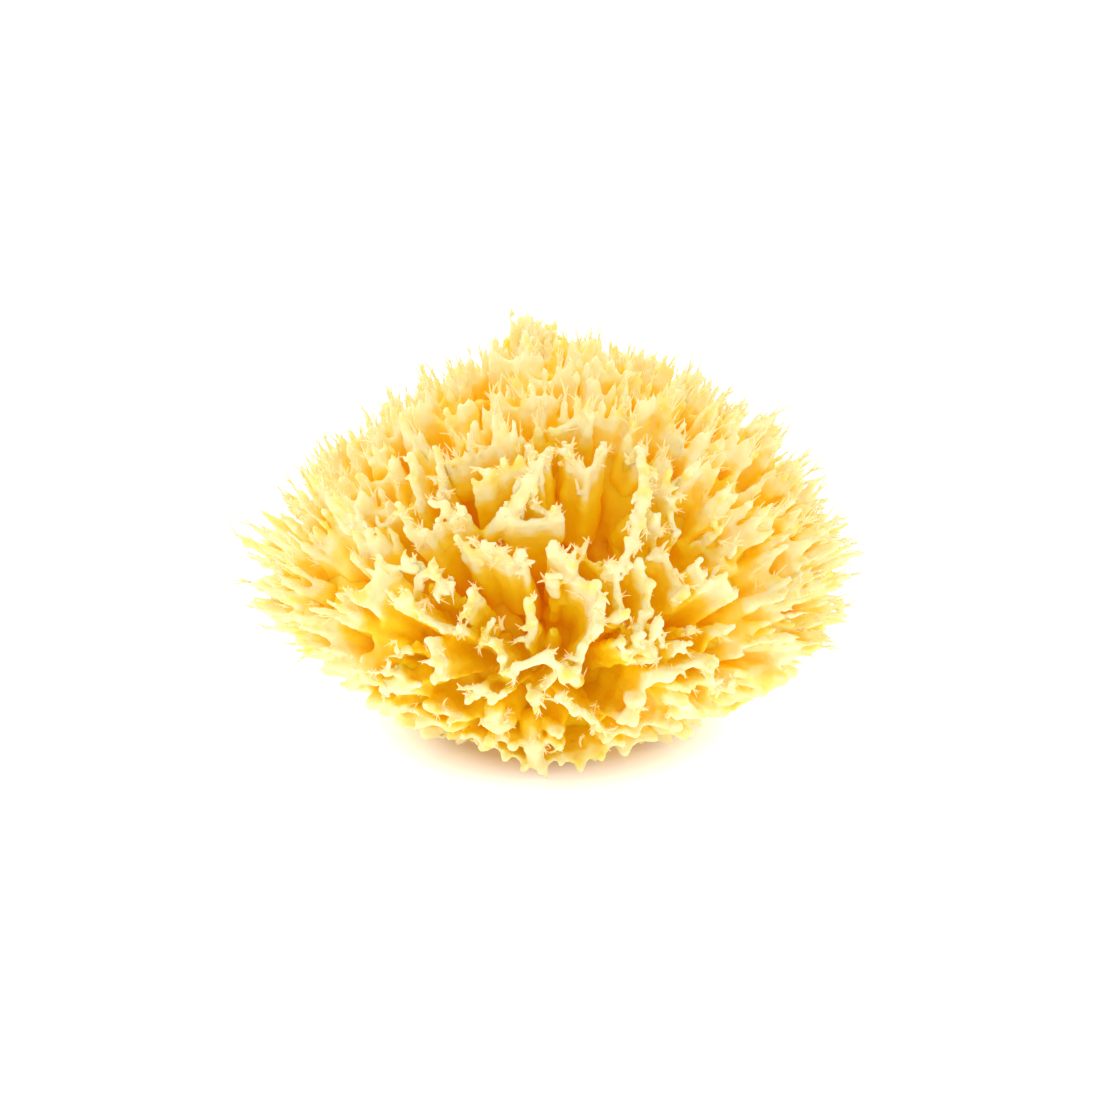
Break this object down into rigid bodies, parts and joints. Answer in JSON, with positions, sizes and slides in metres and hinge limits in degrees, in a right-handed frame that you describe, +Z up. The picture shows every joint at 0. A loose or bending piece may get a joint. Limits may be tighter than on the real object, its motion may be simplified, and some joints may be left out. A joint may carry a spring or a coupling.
{
  "type": "sea sponge",
  "caption": "Natural bath sponge: a soft domed skeleton of close-set tufts and round hollows, cut flat at its foot, for washing and wiping.",
  "frame": {"origin": "middle of the sponge's footprint, at the level of the flat cut, on the surface that it rests on", "axes": "+Z up from the cut through the dome, X along the widest girth, -Y the front, where the largest hollows open"},
  "size_m": [0.14, 0.12, 0.091],
  "materials": {
    "spongin": "soft matte fibre skeleton, cream at the tips and amber in the hollows, which lets some light through"
  },
  "bodies": {
    "root": {"sponge": "spongin"}
  },
  "joints": []
}
